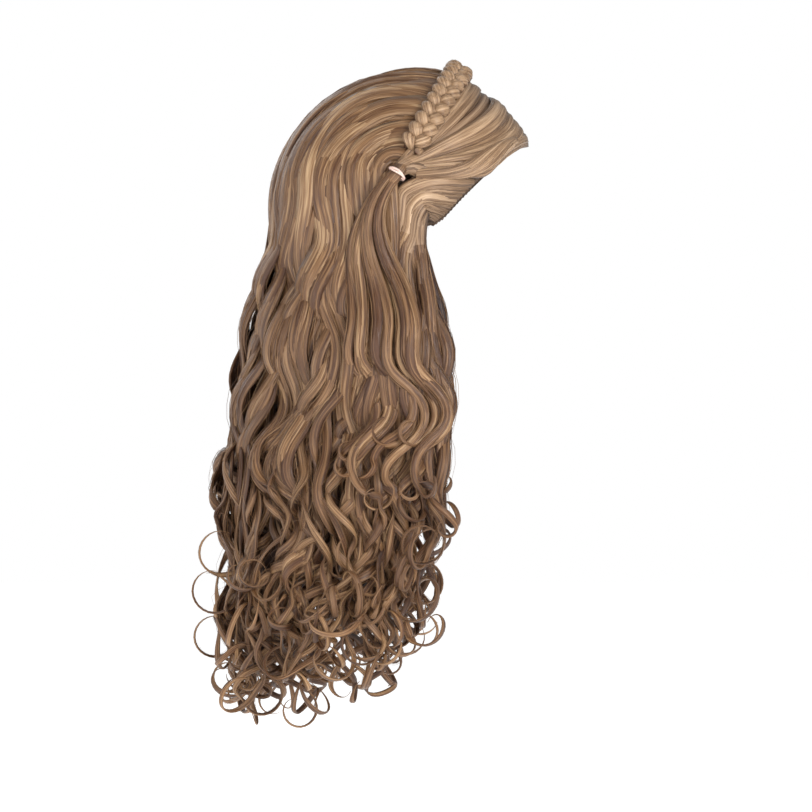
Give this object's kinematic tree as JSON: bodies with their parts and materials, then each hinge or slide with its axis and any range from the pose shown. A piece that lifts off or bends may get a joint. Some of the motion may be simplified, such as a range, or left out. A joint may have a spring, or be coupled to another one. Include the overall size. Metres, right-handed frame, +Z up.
{
  "type": "long curled wig",
  "caption": "Long curled wig on a stretch cap, with a braid laid over the crown and the front hair tied back above each ear.",
  "frame": {"origin": "top of the head, on the inside of the cap", "axes": "+Z up; the wearer's face looks along -Y; the wearer's left side is +X"},
  "size_m": [0.2787, 0.2649, 0.5349],
  "materials": {
    "cap_net": "thin dull brown stretch net",
    "crown_hair": "smooth combed synthetic hair with a soft gloss",
    "front_hair": "smooth swept synthetic hair, darker at the parting",
    "braided_hair": "tightly woven synthetic hair with a soft gloss",
    "curled_hair": "waved and curled synthetic hair with a soft gloss",
    "elastic": "small pale pink elastic"
  },
  "bodies": {
    "root": {"cap": "cap_net", "crown_hair": "crown_hair", "braid_strand_1": "braided_hair", "braid_strand_2": "braided_hair", "braid_strand_3": "braided_hair", "front_sweep_right": "front_hair", "front_sweep_left": "front_hair", "temple_hair_right": "front_hair", "temple_hair_left": "front_hair", "hairline_roll_right": "front_hair", "hairline_roll_left": "front_hair", "hair_tie_right": "elastic", "hair_tie_left": "elastic", "tied_tail_right": "curled_hair", "tied_tail_left": "curled_hair", "curl_lock_01": "curled_hair", "curl_lock_02": "curled_hair", "curl_lock_03": "curled_hair", "curl_lock_04": "curled_hair", "curl_lock_05": "curled_hair", "curl_lock_06": "curled_hair", "curl_lock_07": "curled_hair", "curl_lock_08": "curled_hair", "curl_lock_09": "curled_hair", "curl_lock_10": "curled_hair", "curl_lock_11": "curled_hair", "curl_lock_12": "curled_hair", "curl_lock_13": "curled_hair", "curl_lock_14": "curled_hair", "curl_lock_15": "curled_hair", "curl_lock_16": "curled_hair", "curl_lock_17": "curled_hair", "curl_lock_18": "curled_hair", "curl_lock_19": "curled_hair", "curl_lock_20": "curled_hair", "curl_lock_21": "curled_hair", "curl_lock_22": "curled_hair", "nape_lock_1": "curled_hair", "nape_lock_2": "curled_hair", "nape_lock_3": "curled_hair", "nape_lock_4": "curled_hair", "nape_lock_5": "curled_hair", "nape_lock_6": "curled_hair", "nape_lock_7": "curled_hair"}
  },
  "joints": []
}
